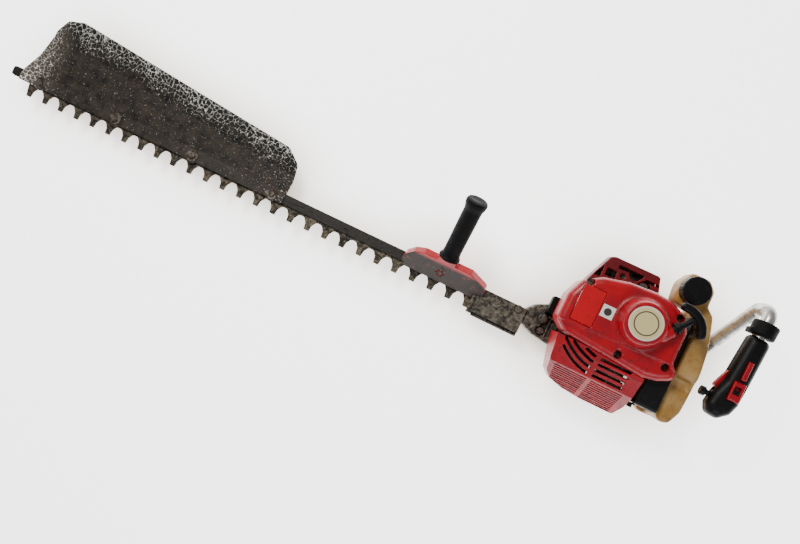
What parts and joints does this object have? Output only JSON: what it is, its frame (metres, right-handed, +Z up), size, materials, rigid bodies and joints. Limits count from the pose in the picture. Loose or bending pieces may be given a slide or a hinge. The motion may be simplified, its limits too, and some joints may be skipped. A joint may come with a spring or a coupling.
{
  "type": "petrol hedge trimmer",
  "caption": "Petrol hedge trimmer: one-sided reciprocating blade, bent sweeper plate, guarded front grip, covered engine over the gear case, side tank and crosswise rear grip.",
  "frame": {"origin": "foot of the crankshaft axis on the flat underside of the gear case, which is the floor plane", "axes": "+X from the blade tip to the rear grip, +Y from the teeth towards the handles, +Z up along the crankshaft"},
  "size_m": [1.4229, 0.2681, 0.1846],
  "materials": {
    "red_plastic": "worn",
    "dark_red_plastic": "worn",
    "black_plastic": "satin",
    "black_rubber": "matte",
    "tan_plastic": "translucent",
    "cast_aluminium": "dirty casting",
    "tube_aluminium": "brushed",
    "cutter_steel": "worn",
    "dark_steel": "scratched",
    "bright_steel": "machined",
    "fixing_steel": "zinc",
    "cast_iron_dark": "raw",
    "label_vinyl": "printed",
    "white_ceramic": "glazed",
    "filter_foam": "open",
    "rope_nylon": "braided"
  },
  "bodies": {
    "frame": {"air_cleaner_base": "black_plastic", "air_cleaner_cover": "black_plastic", "air_filter": "filter_foam", "badges": "label_vinyl", "bearings": "bright_steel", "blade_bolts": "fixing_steel", "blade_cover": "cast_aluminium", "carburettor": "cast_aluminium", "clutch_case": "cast_aluminium", "crankcase": "cast_aluminium", "cylinder": "cast_aluminium", "cylinder_cover": "red_plastic", "front_grip": "black_rubber", "front_grip_rod": "fixing_steel", "front_guard": "red_plastic", "fuel_tank": "tan_plastic", "gear_case_lower": "cast_aluminium", "gear_case_upper": "cast_aluminium", "grip_collar": "black_rubber", "grip_lower": "black_plastic", "grip_upper": "black_plastic", "guide_bar": "dark_steel", "handle_tube": "tube_aluminium", "housing_screws": "fixing_steel", "ignition_coil": "black_plastic", "lower_shroud": "dark_red_plastic", "muffler": "dark_steel", "recoil_spring": "bright_steel", "rope_guide": "black_plastic", "rubber_mounts": "black_rubber", "shroud_spring": "fixing_steel", "spark_plug": "white_ceramic", "starter_cover": "red_plastic", "sweeper_plate": "dark_steel", "switch_housing": "red_plastic", "tank_bracket": "dark_steel", "tank_bulkhead": "black_plastic", "top_panel": "red_plastic", "tube_clamp": "cast_aluminium"},
    "crank": {"crankshaft": "bright_steel", "flywheel_fan": "cast_aluminium", "clutch_shoes": "cast_iron_dark"},
    "gear": {"reduction_gear": "bright_steel"},
    "drum": {"clutch_drum": "dark_steel"},
    "upper_cutter": {"upper_blade": "cutter_steel", "upper_rod": "bright_steel"},
    "lower_cutter": {"lower_blade": "cutter_steel", "lower_rod": "bright_steel"},
    "piston": {"piston": "cast_aluminium", "connecting_rod": "bright_steel"},
    "pulley": {"starter_pulley": "black_plastic", "starter_rope_coil": "rope_nylon"},
    "starter_grip": {"starter_handle": "black_plastic"},
    "cap_lift": {"cap_seal": "black_rubber"},
    "cap": {"fuel_cap": "black_plastic"},
    "trigger": {"throttle_trigger": "red_plastic"},
    "lockout": {"lockout_lever": "red_plastic"},
    "stop_switch": {"stop_switch": "black_plastic"},
    "set_knob": {"set_knob": "black_plastic"},
    "choke": {"choke_lever": "black_plastic"}
  },
  "joints": [
    {"name": "crank_spin", "type": "hinge", "parent": "frame", "child": "crank", "pos_m": [0, 0, 0.107], "axis": [0, 0, 1], "continuous": true},
    {"name": "gear_spin", "type": "hinge", "parent": "frame", "child": "gear", "pos_m": [-0.02, -0.0424, 0.015], "axis": [0, 0, 1], "continuous": true},
    {"name": "drum_spin", "type": "hinge", "parent": "frame", "child": "drum", "pos_m": [0, 0, 0.056], "axis": [0, 0, 1], "continuous": true},
    {"name": "upper_blade_slide", "type": "slide", "parent": "frame", "child": "upper_cutter", "axis": [1, 0, 0], "range_m": [-0.0095, 0.0065]},
    {"name": "lower_blade_slide", "type": "slide", "parent": "frame", "child": "lower_cutter", "axis": [1, 0, 0], "range_m": [-0.0065, 0.0095]},
    {"name": "piston_slide", "type": "slide", "parent": "frame", "child": "piston", "axis": [0, 1, 0], "range_m": [0, 0.028]},
    {"name": "starter_pull", "type": "slide", "parent": "frame", "child": "starter_grip", "axis": [0.6159, 0.7878, 0], "range_m": [0, 0.6], "stiffness_N_per_m": 20, "springref_m": -0.2},
    {"name": "pulley_turn", "type": "hinge", "parent": "frame", "child": "pulley", "pos_m": [0, 0, 0.168], "axis": [0, 0, 1], "range_deg": [0, 1200]},
    {"name": "cap_rise", "type": "slide", "parent": "frame", "child": "cap_lift", "axis": [0, 0, 1], "range_m": [0, 0.009]},
    {"name": "cap_turn", "type": "hinge", "parent": "cap_lift", "child": "cap", "pos_m": [0.057, 0.083, 0.138], "axis": [0, 0, 1], "range_deg": [0, 820]},
    {"name": "throttle_squeeze", "type": "hinge", "parent": "frame", "child": "trigger", "pos_m": [0.1625, -0.0095, 0.12], "axis": [0, 0, 1], "range_deg": [0, 14], "stiffness_Nm_per_rad": 0.15, "springref_deg": -17.19},
    {"name": "lockout_press", "type": "hinge", "parent": "frame", "child": "lockout", "pos_m": [0.179, 0.016, 0.133], "axis": [1, 0, 0], "range_deg": [0, 6], "stiffness_Nm_per_rad": 0.1, "springref_deg": -17.19},
    {"name": "stop_switch_slide", "type": "slide", "parent": "frame", "child": "stop_switch", "axis": [0, 1, 0], "range_m": [0, 0.0045]},
    {"name": "set_knob_press", "type": "slide", "parent": "frame", "child": "set_knob", "axis": [0.9998, 0.02, 0], "range_m": [0, 0.0025], "stiffness_N_per_m": 200, "springref_m": -0.004},
    {"name": "choke_turn", "type": "hinge", "parent": "frame", "child": "choke", "pos_m": [0.056, -0.119, 0.098], "axis": [0, 1, 0], "range_deg": [0, 40]}
  ],
  "couplings": [
    {"joint": "drum_spin", "follows": "gear_spin", "ratio": -4},
    {"joint": "lower_blade_slide", "follows": "upper_blade_slide", "ratio": -1},
    {"joint": "pulley_turn", "follows": "starter_pull", "rad_per_m": 34.843},
    {"joint": "cap_turn", "follows": "cap_rise", "rad_per_m": 1570.8}
  ]
}
